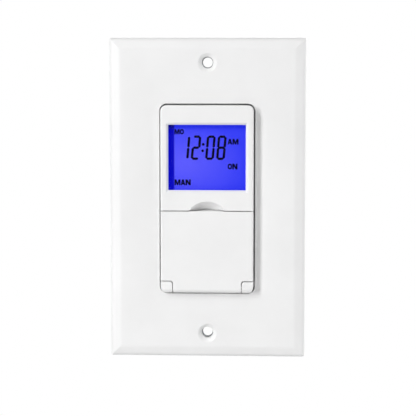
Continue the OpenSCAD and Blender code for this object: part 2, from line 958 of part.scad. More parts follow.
module film_capacitor() {
  color(film_yellow) translate([film_x, 0, film_z])
    on_power_board(film_h) rounded(film_w, film_l, film_r);
}

module filter_capacitors() {
  color(black) for (f = FILTERS)
    translate([filter_x, power_board_y, f[2]]) rotate([90, 0, 0]) difference() {
      cylinder(d = f[0], h = f[1]);
      translate([0, 0, filter_groove_z])
        rotate_extrude() translate([f[0] / 2, 0]) circle(filter_groove, $fn = 24);
    }
}

module varistor() {
  y_mid = power_board_y - varistor_leg - varistor_d / 2;
  color(varistor_blue) translate([varistor_x, 0, varistor_z]) {
    translate([0, y_mid, -varistor_t / 2]) cylinder(d = varistor_d, h = varistor_t);
    for (s = [-1, 1])
      translate([s * varistor_d / 4, 0, 0]) bar_y(varistor_leg_d, y_mid, power_board_y);
  }
}

module fuse() {
  color(pale) translate([fuse_x, power_board_y - fuse_d / 2, fuse_z])
    bar_x(fuse_d, -fuse_l / 2, fuse_l / 2);
}

module bridge_rectifier() {
  color(black) translate([rectifier_x, 0, rectifier_z])
    on_power_board(rectifier_h) rounded(rectifier_w, rectifier_l, rectifier_r);
}

// Rear housing

module at_terminals(sides = [-1, 1]) {
  for (t = TERMINALS, s = sides) if (t[1] == s) at_terminal(t) children();
}

// Places its child at a terminal, drawn for the right-hand side
module at_terminal(t) {
  translate([0, 0, t[2] * terminal_z]) mirror([t[1] < 0 ? 1 : 0, 0, 0]) children();
}

module housing_outside() {
  hull($fn = hull_fn) {
    slab(flange_t, body_depth - body_bevel) rounded(body_w, body_h, body_r);
    slab(body_depth - skin, body_depth)
      rounded(body_w - 2 * body_bevel, body_h - 2 * body_bevel, body_r - body_bevel);
  }
}

module pocket_block() {
  translate([pocket_x - pocket_wall, pocket_y - pocket_wall, -pocket_w / 2 - pocket_wall])
    cube([pocket_depth + pocket_wall - bite, pocket_l + 2 * pocket_wall, pocket_w + 2 * pocket_wall]);
}

module pocket_cuts() {
  translate([pocket_x, pocket_y, -pocket_w / 2]) cube([pocket_depth + past, pocket_l, pocket_w]);
  translate([0, terminal_y, 0]) bar_x(terminal_thread_d + 2 * touch, leg_x, pocket_x + past);
  translate([leg_x, leg_y - fit, -leg_w / 2 - fit])
    cube([pocket_x - leg_x + past, terminal_t + 2 * fit, leg_w + 2 * fit]);
}

module rear_housing() {
  color(dark_grey) difference() {
    union() {
      difference() {
        housing_outside();
        slab(flange_t - past, y_back_wall)
          rounded(body_w - 2 * body_wall, body_h - 2 * body_wall, body_r - body_wall);
      }
      intersection() {
        housing_outside();
        at_corners(assembly_x, assembly_z) bar_y(column_d, flange_t, body_depth);
      }
      at_corners(power_post_x, power_post_z) bar_y(power_post_d, y_power_back, y_back_wall + bite);
      at_terminals() pocket_block();
    }
    at_corners(assembly_x, assembly_z) {
      bar_y(assembly_d + 2 * touch, flange_t - past, body_depth);
      bar_y(well_d, assembly_seat_y, body_depth + past);
    }
    at_corners(power_post_x, power_post_z)
      bar_y(power_screw_d + 2 * running, power_board_y, power_board_y + power_screw_l + touch);
    at_terminals() pocket_cuts();
  }
}

module assembly_screws() {
  color(steel) translate([0, assembly_seat_y, 0]) at_corners(assembly_x, assembly_z)
    screw_y(assembly_head_d, assembly_head_t, assembly_d, assembly_seat_y + strap_t, -1);
}

// Terminals

module terminal(t) {
  color(brass) at_terminal(t) difference() {
    union() {
      translate([pocket_x, terminal_y - terminal_l / 2, -terminal_w / 2])
        cube([terminal_t, terminal_l, terminal_w]);
      translate([leg_x, leg_y, -leg_w / 2]) cube([pocket_x - leg_x + bite, terminal_t, leg_w]);
      translate([leg_x, leg_y, -leg_w / 2]) cube([terminal_t, power_board_y - leg_y, leg_w]);
    }
    translate([0, terminal_y, 0])
      bar_x(terminal_thread_d + 2 * running, pocket_x - past, pocket_x + pocket_depth);
  }
}

module terminal_screw() {
  x_head = pocket_x + terminal_t;
  difference() {
    union() {
      bar_x(terminal_head_d, x_head, x_head + terminal_head_t);
      bar_x(terminal_thread_d, x_head - terminal_screw_l, x_head + bite);
    }
    translate([x_head + terminal_head_t - driver_slot_t, -terminal_head_d, -driver_slot_w / 2])
      cube([driver_slot_t + past, 2 * terminal_head_d, driver_slot_w]);
  }
}

module terminal_screws() {
  color(brass) at_terminals([-1]) translate([0, terminal_y, 0]) terminal_screw();
}

module neutral_screw() {
  color(steel) at_terminals([1]) translate([0, terminal_y, 0]) terminal_screw();
}

wall_plate();
mounting_strap();
ground_screw();
front_bezel();
door();
hinge_rod();
lcd_window();
lcd_glass();
backlight_guide();
lcd_holder();
zebra_strips();
backlight_leds();
manual_key();
manual_plunger();
reset_plunger();
push_switches();
for (k = KEYS) key(k);
for (k = KEYS) key_plunger(k);
display_board();
display_board_screws();
battery_holder();
coin_cell();
controller_chip();
clock_crystal();
header_block();
header_pins();
power_board();
power_board_screws();
relay();
film_capacitor();
filter_capacitors();
varistor();
fuse();
bridge_rectifier();
rear_housing();
assembly_screws();
for (t = TERMINALS) terminal(t);
terminal_screws();
neutral_screw();
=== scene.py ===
"""Looks of the in-wall timer light switch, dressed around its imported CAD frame."""
import json
import math

import bmesh
import bpy
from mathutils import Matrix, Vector


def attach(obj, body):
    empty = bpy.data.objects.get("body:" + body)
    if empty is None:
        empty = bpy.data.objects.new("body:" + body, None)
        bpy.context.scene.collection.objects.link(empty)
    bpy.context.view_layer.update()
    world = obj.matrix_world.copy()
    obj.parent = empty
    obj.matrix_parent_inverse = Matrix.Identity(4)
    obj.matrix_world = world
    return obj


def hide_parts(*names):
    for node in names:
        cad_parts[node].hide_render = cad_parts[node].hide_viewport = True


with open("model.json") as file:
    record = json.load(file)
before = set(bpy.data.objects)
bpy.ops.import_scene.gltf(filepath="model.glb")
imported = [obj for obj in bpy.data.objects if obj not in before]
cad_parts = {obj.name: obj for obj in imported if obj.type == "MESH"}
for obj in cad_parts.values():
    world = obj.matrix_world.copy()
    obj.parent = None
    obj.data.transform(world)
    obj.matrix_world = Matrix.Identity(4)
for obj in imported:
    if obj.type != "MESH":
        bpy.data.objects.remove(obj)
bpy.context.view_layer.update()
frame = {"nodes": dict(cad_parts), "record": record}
NODES = frame["nodes"]
MM = 0.001

# Photo's camera, fitted to the wall plate's corners: angles in degrees, focal length in pixels
PHOTO_SIZE = 416
CAMERA_DISTANCE = 540 * MM
CAMERA_YAW = 2.77
CAMERA_PITCH = 6.17
CAMERA_TARGET = Vector((0, 0, -3.75 * MM))
CAMERA_FOCAL_PX = 1499.4
CAMERA_CLIP_START = 10 * MM

# Wall plate, in millimetres like every shape below; the rim's two radii follow the photo, not the source
PLATE_W = 69.85
PLATE_H = 114.3
PLATE_DEPTH = 5.6
PLATE_WALL = 2
PLATE_CORNER_R = 0.8
RIM_W = 3.8
RIM_EDGE = 4.3
RIM_CREST_R = 4
RIM_SHOULDER_R = 2
PLATE_EDGE_R = 0.25
OPENING_EDGE_R = 0.3
PLATE_SCREW_Z = 48.42
PLATE_SCREW_D = 4.2
COUNTERSINK_D = 6.6
COUNTERSINK_SOFT = 0.15
SLEEVE_D = 9
SLEEVE_BACK = -1.2
RIB_T = 1.2
RIB_BACK = -1.5
RIB_RING_SINK = 0.5
RIB_FRONT_SINK = 0.3
RIB_END_GAP = 0.4

# Face moulding
FACE_W = 33
FACE_H = 66.9
FACE_R = 2.1
FACE_EDGE_R = 0.6
FACE_GAP = 0.5
FACE_WALL = 1.3
Y_FACE = -8.6
Y_LENS = -7.2
Y_PANEL = -4.4
Y_PANEL_BACK = -3.1
PANEL_INSET = 0.01
SHELF_TOP = 0.55
KEY_ROOM_TOP = -4.35
FLANGE_W = 44.8
FLANGE_H = 69.4
FLANGE_T = 2
FLANGE_R = 3
FLANGE_HOLE_X = 19.15
FLANGE_HOLE_Z = 29.7
FLANGE_HOLE_D = 3.0
POST_X = 12.55
POST_Z = 30.65
POST_D = 3.2
POST_BORE_D = 1.7
POST_BORE_FRONT = -2.1

# Display: its window, then the middle and reach of the backlight and the widths of the window frame's
# shadow painted along its left and upper edges
WINDOW_W = 27.5
WINDOW_H = 23.2
WINDOW_Z = 15.0
WINDOW_R = 0.15
WINDOW_R_GROWTH = 0.2
WINDOW_CHAMFER = 0.7
WINDOW_SOFT = 0.12
Y_GLASS = -6.3
GLOW_X = -8
GLOW_Z = WINDOW_Z - 2
GLOW_REACH_X = 24
GLOW_REACH_Z = 18
PAINTED_SHADOW_LEFT_START = 1.8
PAINTED_SHADOW_LEFT_END = 2.3
PAINTED_SHADOW_TOP = 2.5

# Door and its hinge
DOOR_TOP = -4.15
DOOR_GAP = 0.3
DOOR_T = 1.6
DOOR_EDGE_R = 0.2
SKIRT_T = 1.3
PAN_R = 0.5
Y_SKIRT = -5.3
Y_HINGE = -6.9
Z_HINGE = -31.75
KNUCKLE_R = 1.7
ROD_BORE_D = 1.3
ROD_END_WALL = 1.1
LUG_W = 4.05
LUG_H = 4.2
LUG_R = 1.0
LUG_EDGE_R = 1.2
LUG_SINK = 0.3
NOTCH_MARGIN = 0.5
LIP_W = 13.4
LIP_H = 0.15
SCOOP_W = 12.9
SCOOP_H = 3.35
SCOOP_DEPTH = 4

# Keys; the dish in a key's front is drawn by insets, each with its share of the dish's depth
KEY_W = 6.4
KEY_H = 4.4
KEY_R = 1.2
KEY_GAP = 0.2
KEY_BRIM = 0.5
KEY_EDGE_R = 0.45
KEY_DISH = 0.12
KEY_DISH_STEPS = ((1.7, 1), (1.2, 0.75), (0.8, 0.25))
Y_KEY = -5.2
Y_KEY_BRIM = -3.05
Y_KEY_BACK = -2.4
KEY_COLUMNS = (-9.35, 0, 9.35)
KEY_ROWS = (-16.525, -23.8)
KEY_NAMES = (("clock", "day", "hour"), ("program", "mode", "minute"))
MANUAL_KEY_W = 12
MANUAL_Z = -9.25
RESET_X = 10.95
RESET_D = 1.8
PUSHER_W = 8
PUSHER_H = 2.6
Y_PUSHER = -5.35

# Cutting shapes reach past what they cut, a soft edge starts before its front, and joined shapes overlap
PAST = 1
SKIM = 0.01
SINK = 0.2

# Smallest rounding of a corner, the radius of one that counts as sharp, and the angle of a sharp edge
MIN_CORNER_R = 0.2
SHARP_R = 0.02
SHARP_ANGLE = 35

# Noise scales, in features per metre
DRIFT_SCALE = 55
GLOSS_SCALE = 300
TOOL_GRAIN_SCALE = 2600
DRAWN_LINE_SCALE = 900
HAZE_SCALE = 120
INK_SCALE = 900
SPECKLE_SCALE = 40

# Noise that isn't stretched into lines, and the two values between which most of a noise lies
EVEN = (1, 1, 1)
NOISE_LOW = 0.3
NOISE_HIGH = 0.7

# How much roughness varies about its middle, the depth of the lines in metal, and a low reflection
PLASTIC_GLOSS_SPREAD = 0.03
METAL_GLOSS_SPREAD = 0.07
METAL_RELIEF = 0.003 * MM
LOW_SPECULAR = 0.1


# Materials


def new_material(name):
    material = bpy.data.materials.new(name)
    material.use_nodes = True
    nodes = material.node_tree.nodes
    shader = nodes["Principled BSDF"]
    return material, nodes, material.node_tree.links, shader


def add_node(nodes, kind, **values):
    node = nodes.new(kind)
    for key, value in values.items():
        if key in node.inputs:
            node.inputs[key].default_value = value
        else:
            setattr(node, key, value)
    return node


def map_range(nodes, start, end, low=0.0, high=1.0, blend="LINEAR"):
    """Node that maps the values between a start and an end to a new range."""
    node = add_node(nodes, "ShaderNodeMapRange", interpolation_type=blend)
    node.inputs["From Min"].default_value = start
    node.inputs["From Max"].default_value = end
    node.inputs["To Min"].default_value = low
    node.inputs["To Max"].default_value = high
    return node


def object_noise(nodes, links, scale, detail=3.0, stretch=EVEN):
    """Noise fixed to the object, its scale in features per metre."""
    coords = nodes.new("ShaderNodeTexCoord")
    mapping = nodes.new("ShaderNodeMapping")
    mapping.inputs["Scale"].default_value = stretch
    noise = add_node(nodes, "ShaderNodeTexNoise", Scale=scale, Detail=detail)
    links.new(coords.outputs["Object"], mapping.inputs["Vector"])
    links.new(mapping.outputs["Vector"], noise.inputs["Vector"])
    return noise.outputs["Fac"]


def ramp(nodes, links, source, low, high, at=(0.35, 0.65)):
    """Colour ramp from one colour to another."""
    node = nodes.new("ShaderNodeValToRGB")
    node.color_ramp.elements[0].position = at[0]
    node.color_ramp.elements[1].position = at[1]
    node.color_ramp.elements[0].color = (*low, 1)
    node.color_ramp.elements[1].color = (*high, 1)
    links.new(source, node.inputs["Fac"])
    return node.outputs["Color"]


def vary_color(nodes, links, shader, noise, low, high):
    """Base colour that drifts between two tones."""
    links.new(ramp(nodes, links, noise, low, high), shader.inputs["Base Color"])


def vary_roughness(nodes, links, shader, noise, low, high):
    """Roughness that drifts between two values."""
    node = map_range(nodes, NOISE_LOW, NOISE_HIGH, low, high)
    links.new(noise, node.inputs["Value"])
    links.new(node.outputs["Result"], shader.inputs["Roughness"])


def grain(nodes, links, shader, scale, height, stretch=EVEN):
    """Fine surface relief, its height in metres."""
    bump = add_node(nodes, "ShaderNodeBump", Strength=1.0, Distance=height)
    links.new(object_noise(nodes, links, scale, 2.0, stretch), bump.inputs["Height"])
    links.new(bump.outputs["Normal"], shader.inputs["Normal"])


def shade(color, factor):
    return tuple(min(1.0, c * factor) for c in color)


def moulded(name, color, rough, tint=0.015, relief=0.004 * MM, fine=TOOL_GRAIN_SCALE):
    """Moulded plastic: faint tone drift, satin gloss and a fine tool grain."""
    material, nodes, links, shader = new_material(name)
    drift = object_noise(nodes, links, DRIFT_SCALE)
    vary_color(nodes, links, shader, drift, shade(color, 1 - tint), shade(color, 1 + tint))
    gloss = object_noise(nodes, links, GLOSS_SCALE)
    vary_roughness(nodes, links, shader, gloss, rough - PLASTIC_GLOSS_SPREAD, rough + PLASTIC_GLOSS_SPREAD)
    grain(nodes, links, shader, fine, relief)
    return material


def metal(name, color, rough, stretch=EVEN):
    """Plated or drawn metal with fine lines along one direction."""
    material, nodes, links, shader = new_material(name)
    shader.inputs["Metallic"].default_value = 1.0
    lines = object_noise(nodes, links, DRAWN_LINE_SCALE, 4.0, stretch)
    vary_color(nodes, links, shader, lines, shade(color, 0.88), shade(color, 1.05))
    vary_roughness(nodes, links, shader, lines, rough - METAL_GLOSS_SPREAD, rough + METAL_GLOSS_SPREAD)
    grain(nodes, links, shader, DRAWN_LINE_SCALE, METAL_RELIEF, stretch)
    return material


def clear(name, color, alpha):
    """Clear pane with a coating that keeps its reflections low."""
    material, nodes, links, shader = new_material(name)
    shader.inputs["Alpha"].default_value = alpha
    shader.inputs["Specular IOR Level"].default_value = LOW_SPECULAR
    haze = object_noise(nodes, links, HAZE_SCALE)
    vary_color(nodes, links, shader, haze, shade(color, 0.9), color)
    vary_roughness(nodes, links, shader, haze, 0.02, 0.06)
    return material


def step_along(nodes, links, axis, start, end):
    """Value that rises from 0 to 1 between two places along an object axis, in millimetres."""
    coords = nodes.new("ShaderNodeTexCoord")
    parts = nodes.new("ShaderNodeSeparateXYZ")
    rise = map_range(nodes, start * MM, end * MM, blend="SMOOTHSTEP")
    links.new(coords.outputs["Object"], parts.inputs["Vector"])
    links.new(parts.outputs[axis], rise.inputs["Value"])
    return rise.outputs["Result"]


def blended(nodes, links, factor, low, high):
    """Colour between two others, each a colour or the output of a node."""
    mix = add_node(nodes, "ShaderNodeMix", data_type="RGBA")
    links.new(factor, mix.inputs["Factor"])
    for socket, color in ((mix.inputs[6], low), (mix.inputs[7], high)):
        if isinstance(color, tuple):
            socket.default_value = (*color, 1)
        else:
            links.new(color, socket)
    return mix.outputs[2]


def backlight_spot(nodes, links):
    """Value that falls from 1 in the middle of the backlight to 0 at its reach."""
    coords = nodes.new("ShaderNodeTexCoord")
    mapping = nodes.new("ShaderNodeMapping")
    mapping.vector_type = "TEXTURE"
    mapping.inputs["Location"].default_value = (GLOW_X * MM, Y_GLASS * MM, GLOW_Z * MM)
    mapping.inputs["Scale"].default_value = (GLOW_REACH_X * MM, GLOW_REACH_X * MM, GLOW_REACH_Z * MM)
    ball = add_node(nodes, "ShaderNodeTexGradient", gradient_type="SPHERICAL")
    links.new(coords.outputs["Object"], mapping.inputs["Vector"])
    links.new(mapping.outputs["Vector"], ball.inputs["Vector"])
    return ball.outputs["Fac"]


def lit_display(name):
    """Display cell lit from behind, brightest left of its middle; the window frame's shadow is painted
    into its colour and glow along its left and upper edges.
    """
    material, nodes, links, shader = new_material(name)
    shader.inputs["Specular IOR Level"].default_value = LOW_SPECULAR
    shader.inputs["Roughness"].default_value = 0.5
    shader.inputs["Emission Strength"].default_value = 1.0
    left = -WINDOW_W / 2
    top = WINDOW_Z + WINDOW_H / 2
    # Painted shadow of the window frame: colour and glow are darkened in a strip along the left edge and
    # in a band along the top edge
    inside = step_along(nodes, links, "X", left + PAINTED_SHADOW_LEFT_START, left + PAINTED_SHADOW_LEFT_END)
    below_painted_shadow = step_along(nodes, links, "Z", top, top - PAINTED_SHADOW_TOP)
    spot = backlight_spot(nodes, links)
    tone = ramp(nodes, links, spot, (0.045, 0.06, 0.5), (0.12, 0.12, 0.56), (0.1, 0.9))
    tone = blended(nodes, links, below_painted_shadow, (0.02, 0.04, 0.42), tone)
    links.new(blended(nodes, links, inside, (0, 0, 0.1), tone), shader.inputs["Base Color"])
    # Glow lowered in the left strip as painted shadow, lowest where that strip meets the top band
    shadowed_glow = blended(nodes, links, below_painted_shadow, (0, 0, 0.12), (0, 0, 0.5))
    glow = blended(nodes, links, inside, shadowed_glow, (0, 0, 0.56))
    links.new(glow, shader.inputs["Emission Color"])
    return material


def ink(name, color):
    """Dark ink without gloss, a little uneven."""
    material, nodes, links, shader = new_material(name)
    shader.inputs["Specular IOR Level"].default_value = 0.0
    shader.inputs["Roughness"].default_value = 0.9
    depth = object_noise(nodes, links, INK_SCALE)
    vary_color(nodes, links, shader, depth, shade(color, 0.6), shade(color, 1.4))
    return material


def background_rays(nodes, links):
    """One for rays that see the background: from the camera, by reflection or through glass."""
    path = nodes.new("ShaderNodeLightPath")
    seen = path.outputs["Is Camera Ray"]
    for ray in ("Is Glossy Ray", "Is Transmission Ray"):
        either = add_node(nodes, "ShaderNodeMath", operation="MAXIMUM")
        links.new(seen, either.inputs[0])
        links.new(path.outputs[ray], either.inputs[1])
        seen = either.outputs[0]
    return seen


def studio_floor(name, color, fade_start, fade_end):
    """Pale floor that keeps shadows near the part and fades to the white background further out."""
    material, nodes, links, shader = new_material(name)
    speckle = object_noise(nodes, links, SPECKLE_SCALE)
    vary_color(nodes, links, shader, speckle, shade(color, 0.98), shade(color, 1.02))
    shader.inputs["Roughness"].default_value = 0.8
    coords = nodes.new("ShaderNodeTexCoord")
    distance = add_node(nodes, "ShaderNodeVectorMath", operation="LENGTH")
    fade = map_range(nodes, fade_start, fade_end, blend="SMOOTHSTEP")
    seen = add_node(nodes, "ShaderNodeMath", operation="MULTIPLY")
    white = nodes.new("ShaderNodeEmission")
    mix = nodes.new("ShaderNodeMixShader")
    links.new(coords.outputs["Object"], distance.inputs[0])
    links.new(distance.outputs["Value"], fade.inputs["Value"])
    links.new(fade.outputs["Result"], seen.inputs[0])
    links.new(background_rays(nodes, links), seen.inputs[1])
    links.new(seen.outputs[0], mix.inputs["Fac"])
    links.new(shader.outputs["BSDF"], mix.inputs[1])
    links.new(white.outputs["Emission"], mix.inputs[2])
    links.new(mix.outputs["Shader"], nodes["Material Output"].inputs["Surface"])
    return material


# Plastics: colour and roughness, and where they differ from the rest, tint, relief and grain
PLASTICS = {
    "plate_white": ((0.86, 0.86, 0.86), 0.45),
    "face_white": ((0.87, 0.87, 0.87), 0.4),
    "door_white": ((0.87, 0.87, 0.87), 0.4),
    "key_white": ((0.8, 0.8, 0.79), 0.5),
    "plunger_black": ((0.03, 0.03, 0.033), 0.45),
    "switch_grey": ((0.09, 0.09, 0.1), 0.5),
    "guide_clear": ((0.75, 0.79, 0.85), 0.12),
    "holder_pale": ((0.74, 0.74, 0.7), 0.5),
    "zebra_grey": ((0.06, 0.06, 0.07), 0.8),
    "lamp_white": ((0.85, 0.84, 0.7), 0.4),
    "board_green": ((0.02, 0.13, 0.05), 0.35, 0.3),
    "chip_black": ((0.015, 0.015, 0.017), 0.3),
    "relay_blue": ((0.03, 0.11, 0.4), 0.4),
    "film_yellow": ((0.6, 0.36, 0.03), 0.45),
    "filter_black": ((0.02, 0.02, 0.035), 0.35),
    "varistor_blue": ((0.03, 0.12, 0.3), 0.35),
    "fuse_pale": ((0.68, 0.64, 0.5), 0.5),
    "housing_grey": ((0.045, 0.047, 0.05), 0.5, 0.06, 0.012 * MM, 1800),
}
# Metals: colour, roughness and how the noise is stretched into lines
METALS = {
    "strap_steel": ((0.3, 0.31, 0.32), 0.42, (0.15, 1, 1)),
    "rod_steel": ((0.66, 0.66, 0.67), 0.25, (0.05, 1, 1)),
    "screw_steel": ((0.64, 0.64, 0.65), 0.3),
    "ground_green": ((0.06, 0.34, 0.13), 0.35),
    "cell_steel": ((0.7, 0.7, 0.71), 0.28),
    "pin_brass": ((0.8, 0.6, 0.24), 0.25, (1, 0.1, 1)),
    "terminal_brass": ((0.72, 0.5, 0.18), 0.3, (1, 1, 0.2)),
}
FINISHES = {
    **{name: moulded(name, *values) for name, values in PLASTICS.items()},
    **{name: metal(name, *values) for name, values in METALS.items()},
    "window_clear": clear("window_clear", (0.02, 0.02, 0.03), 0.05),
    "display_blue": lit_display("display_blue"),
}


def dress_nodes():
    for entry in frame["record"]["subparts"]:
        node = NODES[entry["node"]]
        node.data.materials.clear()
        node.data.materials.append(FINISHES[entry["material_slot"]])


# Outlines in x and z, counter-clockwise seen from the front


def even_steps(end, steps):
    """Values from zero to an end, evenly apart."""
    return [end * i / steps for i in range(steps + 1)]


def arc(x, z, radius, start, end, steps):
    """Points of an arc between two angles in degrees."""
    angles = [math.radians(start + turned) for turned in even_steps(end - start, steps)]
    return [(x + radius * math.cos(a), z + radius * math.sin(a)) for a in angles]


def circle(x, z, radius, steps):
    return arc(x, z, radius, 0, 360 - 360 / steps, steps - 1)


def round_hole(diameter, steps=48):
    return circle(0, 0, diameter / 2, steps)


def rounded_rect(width, height, radius, steps=6):
    right = width / 2 - radius
    top = height / 2 - radius
    corners = ((right, top), (-right, top), (-right, -top), (right, -top))
    points = []
    for quarter, (x, z) in enumerate(corners):
        points += arc(x, z, radius, 90 * quarter, 90 * quarter + 90, steps)
    return points


def block(x0, x1, z0, z1):
    """Outline of a box and the place of its middle."""
    return rounded_rect(x1 - x0, z1 - z0, SHARP_R, 1), (x0 + x1) / 2, (z0 + z1) / 2


def rounding(radius, steps):
    """Insets and depths along a rounded edge, from the front to the side."""
    angles = even_steps(math.pi / 2, steps)
    return [(radius * (1 - math.sin(a)), radius * (1 - math.cos(a))) for a in angles]


def edge_inset(depth, radius):
    """How far a rounded edge lies inside its outline at a depth below the front."""
    if depth >= radius:
        return 0
    return radius - math.sqrt(radius ** 2 - (radius - depth) ** 2)


def arch_radius(width, height):
    """Radius of an arc with this width and height."""
    return (width ** 2 / 4 + height ** 2) / (2 * height)


def lip_rise(x):
    """Height of the door's arched lip above its straight top edge."""
    radius = arch_radius(LIP_W, LIP_H)
    return max(0, LIP_H - radius + math.sqrt(radius ** 2 - x ** 2))


# Meshes


def add_object(name, data):
    thing = bpy.data.objects.new(name, data)
    bpy.context.scene.collection.objects.link(thing)
    return thing


def link_mesh(name, mesh):
    """Object of a finished bmesh drawn in millimetres."""
    bmesh.ops.scale(mesh, vec=(MM, MM, MM), verts=mesh.verts)
    bmesh.ops.recalc_face_normals(mesh, faces=mesh.faces)
    data = bpy.data.meshes.new(name)
    mesh.to_mesh(data)
    mesh.free()
    return add_object(name, data)


def at_depth(outline, y, x=0, z=0):
    return [(x + p[0], y, z + p[1]) for p in outline]


def add_loft(mesh, loops, closed=False):
    """Skin through loops of equal length: capped at both ends, or closed into a ring."""
    rings = [[mesh.verts.new(p) for p in loop] for loop in loops]
    if closed:
        rings.append(rings[0])
    else:
        mesh.faces.new(rings[0])
        mesh.faces.new(rings[-1])
    count = len(rings[0])
    for near, far in zip(rings, rings[1:]):
        for i in range(count):
            j = (i + 1) % count
            mesh.faces.new((near[i], near[j], far[j], far[i]))


def loft(name, loops, closed=False):
    mesh = bmesh.new()
    add_loft(mesh, loops, closed)
    return link_mesh(name, mesh)


def prisms(name, entries):
    """Straight blocks along the depth; an entry is an outline, two depths and a place in x and z."""
    mesh = bmesh.new()
    for outline, y0, y1, x, z in entries:
        add_loft(mesh, [at_depth(outline, y0, x, z), at_depth(outline, y1, x, z)])
    return link_mesh(name, mesh)


def bars_x(name, profile, spans):
    """Blocks across the width: a closed profile in y and z, and pairs of ends."""
    mesh = bmesh.new()
    for span in spans:
        add_loft(mesh, [[(x, y, z) for y, z in profile] for x in span])
    return link_mesh(name, mesh)


def combine(target, operation, tool):
    """Adds a tool's solid to the target, cuts it out or keeps what both share."""
    step = target.modifiers.new("combine", "BOOLEAN")
    step.operation = operation
    step.solver = "EXACT"
    step.object = tool
    graph = bpy.context.evaluated_depsgraph_get()
    data = bpy.data.meshes.new_from_object(target.evaluated_get(graph))
    target.modifiers.clear()
    target.data = data
    bpy.data.objects.remove(tool)


def finish_piece(piece, node, body, slot):
    """Smooth shading, finish and place in the mechanism; a piece may stand for a node."""
    data = piece.data
    data.materials.clear()
    data.materials.append(FINISHES[slot])
    data.shade_smooth()
    data.set_sharp_from_angle(angle=math.radians(SHARP_ANGLE))
    normals = piece.modifiers.new("normals", "WEIGHTED_NORMAL")
    normals.keep_sharp = True
    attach(piece, body)
    if node:
        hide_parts(node)


# Wall plate


def plate_section():
    """Section of the rim from the cavity round the back edge to the flat front, as inset and depth."""
    slope = math.atan2(PLATE_DEPTH - RIM_EDGE, RIM_W)
    turn = math.pi / 2 - slope
    crest = RIM_W + RIM_CREST_R * math.tan(slope / 2)
    shoulder = RIM_EDGE - RIM_SHOULDER_R * math.tan(turn / 2)
    cavity_edge = RIM_EDGE - PLATE_WALL * math.tan(turn / 2)
    cavity_in = RIM_W + PLATE_WALL * math.tan(slope / 2)
    section = [(cavity_in, PLATE_DEPTH - PLATE_WALL), (PLATE_WALL, cavity_edge)]
    section += [(PLATE_WALL, PLATE_EDGE_R), (PLATE_WALL - PLATE_EDGE_R, 0)]
    section += rounding(PLATE_EDGE_R, 3)
    for a in even_steps(turn, 6):
        section.append((RIM_SHOULDER_R * (1 - math.cos(a)), shoulder + RIM_SHOULDER_R * math.sin(a)))
    for a in reversed(even_steps(slope, 10)):
        depth = PLATE_DEPTH - RIM_CREST_R * (1 - math.cos(a))
        section.append((crest - RIM_CREST_R * math.sin(a), depth))
    return section


def plate_loop(inset, depth):
    radius = max(MIN_CORNER_R, PLATE_CORNER_R - inset)
    return at_depth(rounded_rect(PLATE_W - 2 * inset, PLATE_H - 2 * inset, radius), -depth)


def opening_loop(grow, y):
    width = FACE_W + 2 * (FACE_GAP + grow)
    height = FACE_H + 2 * (FACE_GAP + grow)
    return at_depth(rounded_rect(width, height, FACE_R + FACE_GAP + grow), y)


def plate_back_ribs():
    """Sleeves of the two screws, ribs across beside the opening and ribs along above and below it."""
    front = -PLATE_DEPTH + PLATE_WALL - RIB_FRONT_SINK
    ring_x = FACE_W / 2 + FACE_GAP + PLATE_WALL - RIB_RING_SINK
    ring_z = FACE_H / 2 + FACE_GAP + PLATE_WALL - RIB_RING_SINK
    wall_x = PLATE_W / 2 - RIM_W - RIB_END_GAP
    wall_z = PLATE_H / 2 - RIM_W - RIB_END_GAP
    half = RIB_T / 2
    entries = []
    for s in (-1, 1):
        entries.append((round_hole(SLEEVE_D), front, SLEEVE_BACK, 0, s * PLATE_SCREW_Z))
        for t in (-1, 1):
            rib_x = s * (SLEEVE_D / 2 + RIB_T)
            rib_z = t * FACE_H / 4
            across = block(*sorted((s * ring_x, s * wall_x)), rib_z - half, rib_z + half)
            along = block(rib_x - half, rib_x + half, *sorted((t * ring_z, t * wall_z)))
            for outline, x, z in (across, along):
                entries.append((outline, front, RIB_BACK, x, z))
    return prisms("ribs", entries)


def plate_screw_holes():
    """Countersunk holes whose front edge is softened; each step is a diameter and a depth."""
    mesh = bmesh.new()
    front = -PLATE_DEPTH
    soft = COUNTERSINK_SOFT
    wide = COUNTERSINK_D + 4 * soft
    cone = (COUNTERSINK_D - PLATE_SCREW_D) / 2
    steps = [(wide, front - PAST), (wide, front - SKIM)]
    steps += [(COUNTERSINK_D + soft, front + 0.3 * soft), (COUNTERSINK_D - 2 * soft, front + soft)]
    steps += [(PLATE_SCREW_D, front + cone), (PLATE_SCREW_D, PAST)]
    for s in (-1, 1):
        add_loft(mesh, [at_depth(round_hole(d, 64), y, 0, s * PLATE_SCREW_Z) for d, y in steps])
    return link_mesh("plate_holes", mesh)


def build_plate():
    loops = [plate_loop(inset, depth) for inset, depth in plate_section()]
    for grow, depth in rounding(OPENING_EDGE_R, 5):
        loops.append(opening_loop(grow, -PLATE_DEPTH + depth))
    loops += [opening_loop(0, RIB_BACK), opening_loop(PLATE_WALL, RIB_BACK)]
    loops.append(opening_loop(PLATE_WALL, -PLATE_DEPTH + PLATE_WALL))
    plate = loft("plate", loops, closed=True)
    combine(plate, "UNION", plate_back_ribs())
    combine(plate, "DIFFERENCE", plate_screw_holes())
    finish_piece(plate, "wall_plate", "body", "plate_white")


# Face moulding


def face_loops(width, height, radius, edge, y0, y1):
    """Rounded block whose front edges are rounded too."""
    loops = []
    for inset, depth in rounding(edge, 6):
        outline = rounded_rect(width - 2 * inset, height - 2 * inset, radius - inset)
        loops.append(at_depth(outline, y0 + depth))
    loops.append(at_depth(rounded_rect(width, height, radius), y1))
    return loops


